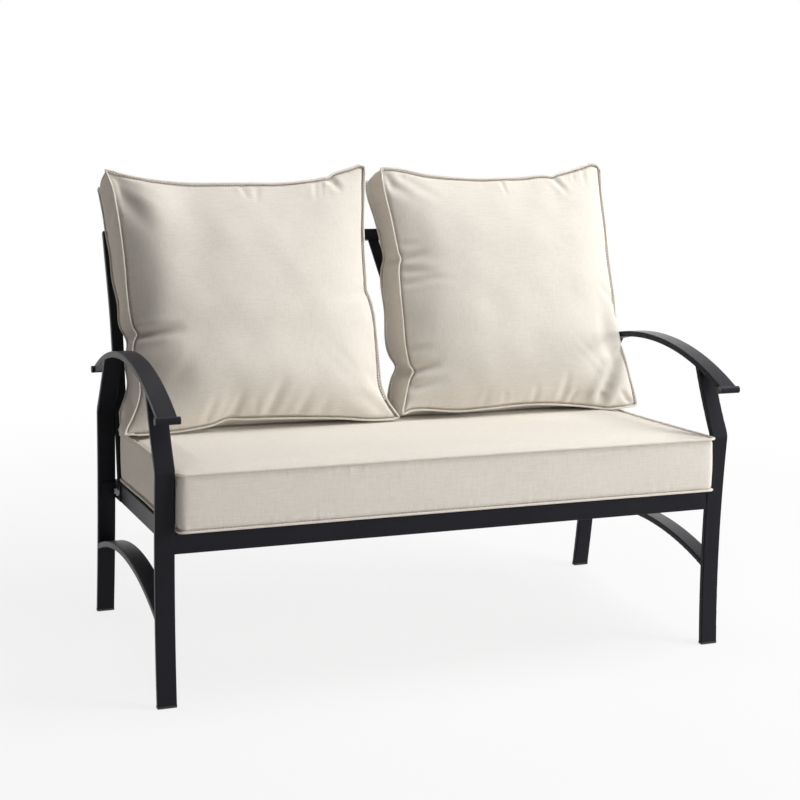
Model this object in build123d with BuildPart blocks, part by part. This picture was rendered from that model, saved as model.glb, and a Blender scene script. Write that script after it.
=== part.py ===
from build123d import *
import math
import os

os.makedirs("parts", exist_ok=True)

# Patio loveseat: two welded side frames, a welded seat and back frame bolted between them,
# and three loose cushions. Millimetres. X is the width, +Y points to the back, +Z up.
# In the side outline, y is measured back from the front foot and z up from the floor.

# Side frames: one rectangular steel tube makes the legs, posts, arms and stretchers
frame_width = 1230.0
tube_width = 38.0
tube_depth = 13.0
tube_wall = 1.5
tube_corner = 2.5

front_foot_y = 9.5
front_kink_y = 17.0
front_kink_z = 460.0
front_leg_bow = 10.0
front_post_bow = 3.0
front_post_top_y = 92.0
rear_foot_y = 610.5
rear_kink_y = 576.5
rear_kink_z = 466.0
rear_leg_bow = 9.5
rear_post_bow = 2.0
rear_post_top_y = 484.0
kink_radius = 26.0

arm_front_y = -8.0
arm_front_z = 563.0
arm_rear_y = 606.0
arm_rear_z = 550.5
arm_rise = 70.5

stretcher_front_z = 176.0
stretcher_rear_z = 155.0
stretcher_rise = 50.2

# Rolled arm ends and their plugs, and the glides under the legs
roll_radius = 7.5
roll_length = 46.0
roll_wall = 1.5
slot_clearance = 0.1
plug_lip = 1.2
plug_stem = 3.5
plug_clearance = 0.2
glide_thickness = 5.0
glide_lip = 0.4
glide_chamfer = 1.0
glide_stem = 10.0
glide_stem_play = 0.7

# Seat frame: a tilted ring of larger tube with flat bars across it
seat_front_z = 339.5
seat_tilt = 3.2
rail_setback = 3.5
rail_depth = 25.0
rail_height = 40.0
rail_wall = 1.5
rail_corner = 2.0
slat_count = 7
slat_width = 30.0
slat_thickness = 4.0
slat_corner = 0.8

# Back frame: two bent uprights, two rails and a fan of flat bars behind each seat
upright_width = 25.0
upright_depth = 15.0
upright_wall = 1.5
upright_corner = 2.0
back_bend_z = 650.0
back_lower_lean = 9.0
back_upper_lean = 24.0
back_upper_run = 205.0
back_bend_radius = 640.0
back_rail_height = 25.0
lower_rail_z = 443.0
bar_width = 25.0
bar_thickness = 5.0
inner_bar_top_x = 49.0
inner_bar_bottom_x = 130.0
cap_thickness = 3.0
cap_rounding = 1.5
cap_stem = 12.0

# Brackets and M6 fasteners
bracket_thickness = 3.0
bracket_height = 34.0
bracket_reach = 60.0
bracket_foot = 30.0
bolt_radius = 3.0
bolt_hole_clearance = 0.3
thread_clearance = 0.05
bolt_head_radius = 5.5
bolt_head_height = 3.6
bolt_socket_radius = 2.3
bolt_socket_depth = 2.2
bolt_tail = 2.0
washer_radius = 6.5
washer_thickness = 1.2
nut_across_flats = 10.0
nut_height = 5.0
first_bolt_from_leg = 24.0
bolt_pitch = 22.0
insert_radius = 3.9
insert_swell_radius = 4.4
insert_swell_gap = 0.2
insert_swell_length = 3.0
insert_length = 14.0

# Cushions: a sewn cover round a foam or fibre core
rest_gap = 0.3
cover_thickness = 1.5
core_gap = 0.3
seam_corner = 20.0
seat_cushion_side_gap = 3.0
seat_cushion_overhang = 25.0
seat_cushion_back_gap = 1.5
seat_boxing = 107.0
seat_crown_top = 11.0
seat_crown_bottom = 8.0
seat_draw_side = 5.0
seat_draw_front = 6.0
back_cushion_side_gap = 2.0
back_cushion_height = 562.0
back_cushion_gap = 18.0
back_cushion_lean = 18.8
back_cushion_sink = 27.0
back_cushion_settle = 2.0
back_lean_gap = 2.0
back_boxing = 113.0
back_crown_front = 38.0
back_crown_rear = 24.0
back_draw_side = 24.0
back_draw_end = 24.0
zip_tape_width = 18.0
zip_tape_thickness = 1.0
zip_gap = 0.2
seat_zip_length = 980.0
back_zip_length = 380.0
zip_height_share = 0.5
zip_forward_share = 0.78

# Crown profiles: how high each section of the crown stands, and how far it draws in from the seam
crown_height_shares = (0.0, 0.152, 0.35, 0.58, 0.787, 0.933, 1.0)
crown_inset_shares = (0.0, 0.04, 0.12, 0.25, 0.42, 0.62, 0.82)
flat_height_shares = (0.0, 0.6, 1.0)
flat_inset_shares = (0.0, 0.03, 0.1)

# Worked out from the sizes above
sides = {"left": -1, "right": 1}
half_width = frame_width / 2
inner_x = half_width - tube_width
tube_x = half_width - tube_width / 2
rail_inner_x = inner_x - rail_depth
upright_inner_x = inner_x - upright_width
seat_cushion_width = 2 * (inner_x - seat_cushion_side_gap)
back_cushion_width = inner_x - back_cushion_side_gap - back_cushion_gap / 2
hole_radius = bolt_radius + bolt_hole_clearance
tilt = math.radians(seat_tilt)
lower_lean = math.radians(back_lower_lean)
upper_lean = math.radians(back_upper_lean)
cushion_lean = math.radians(back_cushion_lean)
trace_steps = 40


def side_plane(x, middle):
    """The plane of the side outline at x: local x is y measured from the front foot, local y is z."""
    return Plane(origin=(x, -middle, 0), x_dir=(0, 1, 0), z_dir=(1, 0, 0))


def path_point(path, plane, height=None, distance=None):
    """The (y, z) point of a side path at a height up it, or at a distance back along it."""
    low = 0.0
    high = 1.0
    for step in range(trace_steps):
        middle = (low + high) / 2
        at = plane.to_local_coords(path @ middle)
        too_low = at.Y < height if distance is None else at.X < distance
        low = middle if too_low else low
        high = high if too_low else middle
    return (at.X, at.Y)


def arm_path(plane):
    """The arched centre line of an armrest, from its front roll to its rear roll."""
    with BuildLine(plane) as line:
        SagittaArc((arm_front_y, arm_front_z), (arm_rear_y, arm_rear_z), arm_rise)
    return line.wire()


def front_leg_path(plane):
    """The bowed front leg and, past its kink, the post that leans back to the arm."""
    post_top = path_point(arm_path(plane), plane, distance=front_post_top_y)
    with BuildLine(plane) as line:
        SagittaArc((front_foot_y, 0), (front_kink_y, front_kink_z), -front_leg_bow)
        SagittaArc((front_kink_y, front_kink_z), post_top, -front_post_bow)
        fillet(line.vertices().sort_by(Axis.Z)[1], radius=kink_radius)
    return line.wire()


def rear_leg_path(plane):
    """The bowed rear leg and, past its kink, the post that leans forward to the arm."""
    post_top = path_point(arm_path(plane), plane, distance=rear_post_top_y)
    with BuildLine(plane) as line:
        SagittaArc((rear_foot_y, 0), (rear_kink_y, rear_kink_z), rear_leg_bow)
        SagittaArc((rear_kink_y, rear_kink_z), post_top, rear_post_bow)
        fillet(line.vertices().sort_by(Axis.Z)[1], radius=kink_radius)
    return line.wire()


def stretcher_path(plane):
    """The arched stretcher, from the middle of the front leg to the middle of the rear leg."""
    front_end = path_point(front_leg_path(plane), plane, height=stretcher_front_z)
    rear_end = path_point(rear_leg_path(plane), plane, height=stretcher_rear_z)
    with BuildLine(plane) as line:
        SagittaArc(front_end, rear_end, stretcher_rise)
    return line.wire()


# The back frame is bolted to the rear leg in the middle of its kink, and leans back from there
outline_plane = side_plane(0, 0)
kink_edge = rear_leg_path(outline_plane).edges().sort_by(Axis.Z)[1]
bolt_y = (kink_edge @ 0.5).Y
bolt_z = (kink_edge @ 0.5).Z
back_bend_y = bolt_y + (back_bend_z - bolt_z) * math.tan(lower_lean)

# The seat frame reaches from the front legs to the rear legs
front_leg_at_seat = path_point(front_leg_path(outline_plane), outline_plane, height=seat_front_z)[0]
seat_front_y = front_leg_at_seat - tube_depth / 2 + rail_setback
seat_rear_height = seat_front_z - rail_height
rear_leg_at_seat = path_point(rear_leg_path(outline_plane), outline_plane, height=seat_rear_height)[0]
seat_frame_depth = (rear_leg_at_seat + tube_depth / 2 - seat_front_y) / math.cos(tilt)
seat_rear_z = seat_front_z - seat_frame_depth * math.sin(tilt)

# The part stands centred: its depth runs from the front arm rolls to the top of the back
front_most_y = arm_front_y - roll_radius
top_run = back_upper_run + cap_thickness
rear_most_y = back_bend_y + top_run * math.sin(upper_lean) + upright_depth / 2 * math.cos(upper_lean)
middle_y = (front_most_y + rear_most_y) / 2

# Planes of the seat frame: local x runs across or back along the tilt, local y up from it
seat_back_dir = (0.0, math.cos(tilt), -math.sin(tilt))
seat_up_dir = (0.0, math.sin(tilt), math.cos(tilt))
seat_origin = (0.0, seat_front_y - middle_y, seat_front_z)
seat_top_plane = Plane(origin=seat_origin, x_dir=(1, 0, 0), z_dir=seat_up_dir)
seat_side_plane = Plane(origin=seat_origin, x_dir=seat_back_dir, z_dir=(1, 0, 0))
rail_middle_h = -rail_height / 2


def cross_plane(path, x):
    """The plane square to the start of a side path, with its local x along the part's width."""
    start = path @ 0
    return Plane(origin=(x, start.Y, start.Z), x_dir=(1, 0, 0), z_dir=path % 0)


def tube_section(width, depth, wall, corner):
    """The section of a rectangular tube with rounded edges."""
    with BuildSketch() as section:
        RectangleRounded(width, depth, corner)
        RectangleRounded(width - 2 * wall, depth - 2 * wall, corner - wall, mode=Mode.SUBTRACT)
    return section.sketch


def filled_tube(path, x, width, depth, corner):
    """The outside shape of a bent tube with no bore, which copes the tubes welded to it."""
    with BuildPart() as body:
        with BuildSketch(cross_plane(path, x)):
            RectangleRounded(width, depth, corner)
        sweep(path=path)
    return body.part


def save(part, name):
    """Label a finished piece and write it to its own file."""
    part.label = name
    export_step(part, f"parts/{name}.step")


# Side frames
for side_name, side in sides.items():
    leg_x = side * tube_x
    plane = side_plane(leg_x, middle_y)
    arm_line = arm_path(plane)
    leg_lines = {"front": front_leg_path(plane), "rear": rear_leg_path(plane)}
    stretcher_line = stretcher_path(plane)
    arm_body = filled_tube(arm_line, leg_x, tube_width, tube_depth, tube_corner)
    leg_bodies = {}
    for end, line in leg_lines.items():
        leg_bodies[end] = filled_tube(line, leg_x, tube_width, tube_depth, tube_corner)

    # Rolled ends of the arm: short round tubes across it, slotted for the flat tube to enter
    for end, at, inward in (("front", arm_line @ 0, arm_line % 0), ("rear", arm_line @ 1, -(arm_line % 1))):
        roll_plane = Plane(origin=(leg_x - roll_length / 2, at.Y, at.Z), x_dir=-inward, z_dir=(1, 0, 0))
        with BuildPart() as arm_roll:
            with BuildSketch(roll_plane):
                Circle(roll_radius)
                Circle(roll_radius - roll_wall, mode=Mode.SUBTRACT)
            extrude(amount=roll_length)
            with BuildSketch(Plane(origin=(leg_x, at.Y, at.Z), x_dir=(1, 0, 0), z_dir=inward)):
                Rectangle(tube_width + 2 * slot_clearance, tube_depth + 2 * slot_clearance)
            extrude(amount=2 * roll_radius, mode=Mode.SUBTRACT)
        save(arm_roll.part, f"arm_roll_{end}_{side_name}")

    # Arched armrest, its square ends inside the rolls
    with BuildPart() as armrest:
        with BuildSketch(cross_plane(arm_line, leg_x)):
            add(tube_section(tube_width, tube_depth, tube_wall, tube_corner))
        sweep(path=arm_line)
    save(armrest.part, f"armrest_{side_name}")

    for end, leg_line in leg_lines.items():
        # Saber leg and kinked post in one bent tube, cut level over the glide and coped under the arm
        with BuildPart() as leg:
            with BuildSketch(cross_plane(leg_line, leg_x)):
                add(tube_section(tube_width, tube_depth, tube_wall, tube_corner))
            sweep(path=leg_line)
            split(bisect_by=Plane.XY.offset(glide_thickness), keep=Keep.TOP)
            add(arm_body, mode=Mode.SUBTRACT)
            if end == "rear":
                insert_plane = Plane(origin=(side * inner_x, bolt_y - middle_y, bolt_z), z_dir=(side, 0, 0))
                with BuildSketch(insert_plane):
                    Circle(insert_radius + thread_clearance)
                extrude(amount=2 * tube_wall, mode=Mode.SUBTRACT)
        save(leg.part, f"{end}_leg_{side_name}")

        # Plastic glide: a foot plate under the tube with a stem up inside it
        foot_y = path_point(leg_line, plane, height=glide_thickness)[0] - middle_y
        stem_y = path_point(leg_line, plane, height=glide_thickness + glide_stem)[0] - middle_y
        stem_width = tube_width - 2 * (tube_wall + glide_stem_play)
        stem_depth = tube_depth - 2 * (tube_wall + glide_stem_play)
        with BuildPart() as glide:
            with BuildSketch(Plane.XY):
                with Locations((leg_x, foot_y)):
                    RectangleRounded(tube_width + 2 * glide_lip, tube_depth + 2 * glide_lip, tube_corner)
            extrude(amount=glide_thickness)
            chamfer(glide.edges().group_by(Axis.Z)[0], length=glide_chamfer)
            with BuildSketch(Plane.XY.offset(glide_thickness)):
                with Locations((leg_x, foot_y)):
                    RectangleRounded(stem_width, stem_depth, tube_corner - tube_wall)
            with BuildSketch(Plane.XY.offset(glide_thickness + glide_stem)):
                with Locations((leg_x, stem_y)):
                    RectangleRounded(stem_width, stem_depth, tube_corner - tube_wall)
            loft()
        save(glide.part, f"foot_glide_{end}_{side_name}")

    # Arched stretcher, coped between the legs
    with BuildPart() as stretcher:
        with BuildSketch(cross_plane(stretcher_line, leg_x)):
            add(tube_section(tube_width, tube_depth, tube_wall, tube_corner))
        sweep(path=stretcher_line)
        for leg_body in leg_bodies.values():
            add(leg_body, mode=Mode.SUBTRACT)
    save(stretcher.part, f"stretcher_{side_name}")

    # Angle brackets welded to the legs, which carry the seat frame's side rail
    for end, leg_body in leg_bodies.items():
        away = 1 if end == "front" else -1
        leg_y = path_point(leg_lines[end], plane, height=seat_front_z + away * rail_height / 2)[0]
        leg_s = (leg_y - seat_front_y) / math.cos(tilt)
        foot_end = leg_s + away * (tube_depth / 2 + bracket_thickness)
        plate_end = leg_s + away * (tube_depth / 2 + bracket_reach)
        with BuildPart() as bracket:
            with BuildSketch(seat_side_plane.offset(side * inner_x)):
                with Locations(((leg_s + plate_end) / 2, rail_middle_h)):
                    Rectangle(abs(plate_end - leg_s), bracket_height)
            extrude(amount=side * bracket_thickness)
            with BuildSketch(seat_side_plane.offset(side * inner_x)):
                with Locations(((leg_s + foot_end) / 2, rail_middle_h)):
                    Rectangle(abs(foot_end - leg_s), bracket_height)
            extrude(amount=side * bracket_foot)
            add(leg_body, mode=Mode.SUBTRACT)
            for number in range(2):
                bolt_s = leg_s + away * (tube_depth / 2 + first_bolt_from_leg + number * bolt_pitch)
                with BuildSketch(seat_side_plane.offset(side * inner_x)):
                    with Locations((bolt_s, rail_middle_h)):
                        Circle(hole_radius)
                extrude(amount=side * bracket_thickness, mode=Mode.SUBTRACT)
        save(bracket.part, f"seat_bracket_{end}_{side_name}")

# Plastic plugs that close the ends of the arm rolls
with BuildPart() as roll_plugs:
    for side in sides.values():
        plane = side_plane(side * tube_x, middle_y)
        for at in (arm_path(plane) @ 0, arm_path(plane) @ 1):
            for face_side in (-1, 1):
                face_x = side * tube_x + face_side * roll_length / 2
                plug_plane = Plane(origin=(face_x, at.Y, at.Z), z_dir=(face_side, 0, 0))
                with BuildSketch(plug_plane):
                    Circle(roll_radius)
                extrude(amount=plug_lip)
                with BuildSketch(plug_plane):
                    Circle(roll_radius - roll_wall - plug_clearance)
                extrude(amount=-plug_stem)
save(roll_plugs.part, "roll_plugs")


def bracket_bolt_places(end):
    """How far back along the seat frame the two bolts beside a leg stand."""
    away = 1 if end == "front" else -1
    leg_path = front_leg_path(outline_plane) if end == "front" else rear_leg_path(outline_plane)
    leg_y = path_point(leg_path, outline_plane, height=seat_front_z + away * rail_height / 2)[0]
    leg_s = (leg_y - seat_front_y) / math.cos(tilt)
    first = leg_s + away * (tube_depth / 2 + first_bolt_from_leg)
    return (first, first + away * bolt_pitch)


bolt_places = bracket_bolt_places("front") + bracket_bolt_places("rear")

# Front and rear rails run the full width, and their ends close against the legs
for rail_name, rail_s in (("front_rail", 0), ("rear_rail", seat_frame_depth - rail_depth)):
    with BuildPart() as cross_rail:
        with BuildSketch(seat_side_plane.offset(-inner_x)):
            with Locations((rail_s + rail_depth / 2, rail_middle_h)):
                add(tube_section(rail_depth, rail_height, rail_wall, rail_corner))
        extrude(amount=2 * inner_x)
    save(cross_rail.part, rail_name)

# Side rails are welded between them, drilled for the bracket bolts
side_rail_length = seat_frame_depth - 2 * rail_depth
for side_name, side in sides.items():
    rail_x = side * (inner_x - rail_depth / 2)
    rail_start = seat_top_plane.from_local_coords((rail_x, rail_depth, rail_middle_h))
    start_plane = Plane(origin=rail_start, x_dir=(1, 0, 0), z_dir=seat_back_dir)
    with BuildPart() as side_rail:
        with BuildSketch(start_plane):
            add(tube_section(rail_depth, rail_height, rail_wall, rail_corner))
        extrude(amount=side_rail_length)
        with BuildSketch(seat_side_plane.offset(side * inner_x)):
            for place in bolt_places:
                with Locations((place, rail_middle_h)):
                    Circle(hole_radius)
        extrude(amount=-side * rail_depth, mode=Mode.SUBTRACT)
    save(side_rail.part, f"seat_rail_{side_name}")

# Flat bars across the seat frame, flush with its top, carry the seat cushion
slat_pitch = 2 * rail_inner_x / (slat_count + 1)
for number in range(slat_count):
    slat_x = (number + 1) * slat_pitch - rail_inner_x
    slat_start = seat_top_plane.from_local_coords((slat_x, rail_depth, -slat_thickness / 2))
    with BuildPart() as slat:
        with BuildSketch(Plane(origin=slat_start, x_dir=(1, 0, 0), z_dir=seat_back_dir)):
            RectangleRounded(slat_width, slat_thickness, slat_corner)
        extrude(amount=side_rail_length)
    save(slat.part, f"seat_slat_{number + 1}")

# Back frame centre line: a lower run up from the seat's side rail, a wide bend, and an upper run
back_foot_z = seat_rear_z - rail_height / 2
back_foot_y = back_bend_y - (back_bend_z - back_foot_z) * math.tan(lower_lean)
back_top_y = back_bend_y + back_upper_run * math.sin(upper_lean)
back_top_z = back_bend_z + back_upper_run * math.cos(upper_lean)


def back_path(plane):
    """The bent centre line of the back frame in a side plane."""
    with BuildLine(plane) as line:
        FilletPolyline(
            (back_foot_y, back_foot_z),
            (back_bend_y, back_bend_z),
            (back_top_y, back_top_z),
            radius=back_bend_radius,
        )
    return line.wire()


def back_rail_plane(share):
    """The plane of a back rail's section: local x runs up the back's line, local y to the front."""
    at = back_line @ share
    return Plane(origin=(-upright_inner_x, at.Y, at.Z), x_dir=back_line % share, z_dir=(1, 0, 0))


def filled_back_rail(share):
    """The outside shape of a back rail with no bore, which copes the bars welded to it."""
    with BuildPart() as body:
        with BuildSketch(back_rail_plane(share)):
            RectangleRounded(back_rail_height, upright_depth, upright_corner)
        extrude(amount=2 * upright_inner_x)
    return body.part


back_plane = side_plane(0, middle_y)
back_line = back_path(back_plane)
lower_rail_run = (lower_rail_z - back_foot_z) / math.cos(lower_lean)
back_rail_shares = {
    "back_top_rail": 1 - back_rail_height / 2 / back_line.length,
    "back_lower_rail": lower_rail_run / back_line.length,
}

for rail_name, share in back_rail_shares.items():
    with BuildPart() as back_rail:
        with BuildSketch(back_rail_plane(share)):
            add(tube_section(back_rail_height, upright_depth, upright_wall, upright_corner))
        extrude(amount=2 * upright_inner_x)
    save(back_rail.part, rail_name)

# Bent uprights stand on the side rails and are bolted to the kinks of the rear legs
for side_name, side in sides.items():
    upright_x = side * (inner_x - upright_width / 2)
    upright_line = back_path(side_plane(upright_x, middle_y))
    with BuildPart() as upright:
        with BuildSketch(cross_plane(upright_line, upright_x)):
            add(tube_section(upright_width, upright_depth, upright_wall, upright_corner))
        sweep(path=upright_line)
        split(bisect_by=seat_top_plane, keep=Keep.TOP)
        with BuildSketch(Plane(origin=(side * inner_x, bolt_y - middle_y, bolt_z), z_dir=(-side, 0, 0))):
            Circle(hole_radius)
        extrude(amount=upright_width, mode=Mode.SUBTRACT)
    save(upright.part, f"back_upright_{side_name}")

    # Plastic cap on the upright's open top
    cap_plane = Plane(origin=upright_line @ 1, x_dir=(1, 0, 0), z_dir=upright_line % 1)
    with BuildPart() as cap:
        with BuildSketch(cap_plane):
            RectangleRounded(upright_width, upright_depth, upright_corner)
        extrude(amount=cap_thickness)
        cap_top = cap.faces().sort_by(Axis(cap_plane.origin, cap_plane.z_dir))[-1]
        fillet(cap_top.edges(), radius=cap_rounding)
        with BuildSketch(cap_plane):
            RectangleRounded(
                upright_width - 2 * (upright_wall + plug_clearance),
                upright_depth - 2 * (upright_wall + plug_clearance),
                upright_corner - upright_wall,
            )
        extrude(amount=-cap_stem)
    save(cap.part, f"upright_cap_{side_name}")

# Fan bars behind each seat: the outer two lean towards each other at the foot, the middle one is straight
top_at = back_line @ back_rail_shares["back_top_rail"]
low_at = back_line @ back_rail_shares["back_lower_rail"]
fan_middle_x = upright_inner_x / 2
outer_bar_top_x = upright_inner_x - inner_bar_top_x
outer_bar_bottom_x = upright_inner_x - inner_bar_bottom_x
bar_ends = {
    "inner": (inner_bar_top_x, inner_bar_bottom_x),
    "middle": (fan_middle_x, fan_middle_x),
    "outer": (outer_bar_top_x, outer_bar_bottom_x),
}
rail_bodies = [filled_back_rail(share) for share in back_rail_shares.values()]
for side_name, side in sides.items():
    for bar_name, (top_x, bottom_x) in bar_ends.items():
        bar_half = bar_width / 2
        with BuildPart() as bar:
            with BuildSketch(cross_plane(back_line, side * fan_middle_x)):
                Rectangle(upright_inner_x, bar_thickness)
            sweep(path=back_line)
            with BuildSketch(Plane.XZ):
                with BuildLine():
                    Polyline(
                        (side * (top_x - bar_half), top_at.Z),
                        (side * (top_x + bar_half), top_at.Z),
                        (side * (bottom_x + bar_half), low_at.Z),
                        (side * (bottom_x - bar_half), low_at.Z),
                        close=True,
                    )
                make_face()
            extrude(amount=rear_most_y, both=True, mode=Mode.INTERSECT)
            for rail_body in rail_bodies:
                add(rail_body, mode=Mode.SUBTRACT)
        save(bar.part, f"back_bar_{bar_name}_{side_name}")

# Bolts that hold the side rails to the brackets: head and washer outside, washer and nut inside
bracket_face_x = inner_x + bracket_thickness
grip = washer_thickness + bracket_thickness + rail_depth
shank_length = grip + washer_thickness + nut_height + bolt_tail
bolt_planes = []
for side in sides.values():
    for place in bolt_places:
        at = seat_top_plane.from_local_coords((0, place, rail_middle_h))
        head_x = side * (bracket_face_x + washer_thickness)
        bolt_planes.append(Plane(origin=(head_x, at.Y, at.Z), z_dir=(-side, 0, 0)))

with BuildPart() as rail_bolts:
    for bolt_plane in bolt_planes:
        with BuildSketch(bolt_plane):
            Circle(bolt_head_radius)
        extrude(amount=-bolt_head_height)
        with BuildSketch(bolt_plane):
            Circle(bolt_radius)
        extrude(amount=shank_length)
        with BuildSketch(bolt_plane.offset(-bolt_head_height)):
            RegularPolygon(bolt_socket_radius, 6)
        extrude(amount=bolt_socket_depth, mode=Mode.SUBTRACT)
save(rail_bolts.part, "rail_bolts")

with BuildPart() as rail_washers:
    for bolt_plane in bolt_planes:
        for washer_at in (0, grip):
            with BuildSketch(bolt_plane.offset(washer_at)):
                Circle(washer_radius)
                Circle(hole_radius, mode=Mode.SUBTRACT)
            extrude(amount=washer_thickness)
save(rail_washers.part, "rail_washers")

with BuildPart() as rail_nuts:
    for bolt_plane in bolt_planes:
        with BuildSketch(bolt_plane.offset(grip + washer_thickness)):
            RegularPolygon(nut_across_flats / 2, 6, major_radius=False)
            Circle(bolt_radius + thread_clearance, mode=Mode.SUBTRACT)
        extrude(amount=nut_height)
save(rail_nuts.part, "rail_nuts")

# Bolts that hold the uprights to the rear legs: head inside, threaded into an insert in the leg
back_bolt_planes = []
for side in sides.values():
    head_x = side * (upright_inner_x - washer_thickness)
    back_bolt_planes.append(Plane(origin=(head_x, bolt_y - middle_y, bolt_z), z_dir=(side, 0, 0)))
back_grip = washer_thickness + upright_width

with BuildPart() as back_bolts:
    for bolt_plane in back_bolt_planes:
        with BuildSketch(bolt_plane):
            Circle(bolt_head_radius)
        extrude(amount=-bolt_head_height)
        with BuildSketch(bolt_plane):
            Circle(bolt_radius)
        extrude(amount=back_grip + insert_length)
        with BuildSketch(bolt_plane.offset(-bolt_head_height)):
            RegularPolygon(bolt_socket_radius, 6)
        extrude(amount=bolt_socket_depth, mode=Mode.SUBTRACT)
save(back_bolts.part, "back_bolts")

with BuildPart() as back_washers:
    for bolt_plane in back_bolt_planes:
        with BuildSketch(bolt_plane):
            Circle(washer_radius)
            Circle(hole_radius, mode=Mode.SUBTRACT)
        extrude(amount=washer_thickness)
save(back_washers.part, "back_washers")

with BuildPart() as leg_inserts:
    for bolt_plane in back_bolt_planes:
        with BuildSketch(bolt_plane.offset(back_grip)):
            Circle(insert_radius)
        extrude(amount=insert_length)
        with BuildSketch(bolt_plane.offset(back_grip + tube_wall + insert_swell_gap)):
            Circle(insert_swell_radius)
        extrude(amount=insert_swell_length)
        with BuildSketch(bolt_plane.offset(back_grip)):
            Circle(bolt_radius + thread_clearance)
        extrude(amount=insert_length, mode=Mode.SUBTRACT)
save(leg_inserts.part, "leg_inserts")


def seam_outline(half_x, half_y, draw_x, draw_y, scale, corner):
    """A cushion's outline: its sides are arcs that draw in between the corners."""
    x = half_x * scale
    y = half_y * scale
    with BuildSketch() as outline:
        with BuildLine():
            ThreePointArc((-x, -y), (0, (draw_y - half_y) * scale), (x, -y))
            ThreePointArc((x, -y), ((half_x - draw_x) * scale, 0), (x, y))
            ThreePointArc((x, y), (0, (half_y - draw_y) * scale), (-x, y))
            ThreePointArc((-x, y), ((draw_x - half_x) * scale, 0), (-x, -y))
        make_face()
        fillet(outline.vertices(), radius=corner * scale)
    return outline.sketch


def padded_form(plane, size, draws, boxing, low, high, inset=0.0, floor=None):
    """A boxed cushion on its lower seam plane: crowned below and above a straight boxing.

    low and high are each a crown's height with its height and inset shares. An inset shrinks the
    form evenly, for the space inside a cover, and a floor plane cuts it flat where it rests.
    """
    half_x = size[0] / 2 - inset
    half_y = size[1] / 2 - inset
    low_height, low_heights, low_insets = low
    high_height, high_heights, high_insets = high
    with BuildPart() as form:
        for height_share, inset_share in zip(low_heights, low_insets):
            with BuildSketch(plane.offset(-(low_height - inset) * height_share)):
                add(seam_outline(half_x, half_y, *draws, 1 - inset_share, seam_corner))
        loft()
        for seam in (0, boxing):
            with BuildSketch(plane.offset(seam)):
                add(seam_outline(half_x, half_y, *draws, 1, seam_corner))
        loft(ruled=True)
        for height_share, inset_share in zip(high_heights, high_insets):
            with BuildSketch(plane.offset(boxing + (high_height - inset) * height_share)):
                add(seam_outline(half_x, half_y, *draws, 1 - inset_share, seam_corner))
        loft()
        if floor is not None:
            split(bisect_by=floor.offset(inset), keep=Keep.TOP)
    return form.part


def zip_tape(plane, size, draws, middle, length):
    """A strip of zip laid on the boxing's lower long side, as deep as its tape is wide."""
    half_x = size[0] / 2
    half_y = size[1] / 2
    tape_start = plane.offset(middle - zip_tape_width / 2)
    with BuildPart() as tape:
        with BuildSketch(tape_start):
            for out, mode in ((zip_gap + zip_tape_thickness, Mode.ADD), (zip_gap, Mode.SUBTRACT)):
                add(seam_outline(half_x + out, half_y + out, *draws, 1, seam_corner + out), mode=mode)
        extrude(amount=zip_tape_width)
        with BuildSketch(tape_start):
            with Locations((0, -half_y)):
                Rectangle(length, half_y)
        extrude(amount=zip_tape_width, mode=Mode.INTERSECT)
    return tape.part


# Seat cushion: it rests flat on the slats and reaches from past the front rail to the back frame
full_crown = (crown_height_shares, crown_inset_shares)
flat_crown = (flat_height_shares, flat_inset_shares)
back_at_seat = path_point(back_line, back_plane, height=seat_rear_z)[0]
cushion_rear_y = back_at_seat - upright_depth / 2 / math.cos(lower_lean) - seat_cushion_back_gap
cushion_rear_s = (cushion_rear_y - seat_front_y) / math.cos(tilt)
seat_cushion_depth = cushion_rear_s + seat_cushion_overhang
seat_middle_s = (cushion_rear_s - seat_cushion_overhang) / 2
seat_lower_seam = rest_gap + seat_crown_bottom
seat_seam_origin = seat_top_plane.from_local_coords((0, seat_middle_s, seat_lower_seam))
seat_seam_plane = Plane(origin=seat_seam_origin, x_dir=(1, 0, 0), z_dir=seat_up_dir)
seat_size = (seat_cushion_width, seat_cushion_depth)
seat_draws = (seat_draw_side, seat_draw_front)
seat_low = (seat_crown_bottom, *flat_crown)
seat_high = (seat_crown_top, *full_crown)
seat_form = (seat_seam_plane, seat_size, seat_draws, seat_boxing, seat_low, seat_high)
seat_outside = padded_form(*seat_form)
seat_cavity = padded_form(*seat_form, cover_thickness)
seat_inside = padded_form(*seat_form, cover_thickness + core_gap)
with BuildPart() as seat_cover:
    add(seat_outside)
    add(seat_cavity, mode=Mode.SUBTRACT)
save(seat_cover.part, "seat_cushion_cover")
save(seat_inside, "seat_cushion_core")

# Turned half round, so that the lower side, where the zip goes, is the back of the cushion
seat_zip_plane = Plane(origin=seat_seam_origin, x_dir=(-1, 0, 0), z_dir=seat_up_dir)
seat_zip = zip_tape(seat_zip_plane, seat_size, seat_draws, seat_boxing * zip_height_share, seat_zip_length)
save(seat_zip, "seat_cushion_zip")

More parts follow.
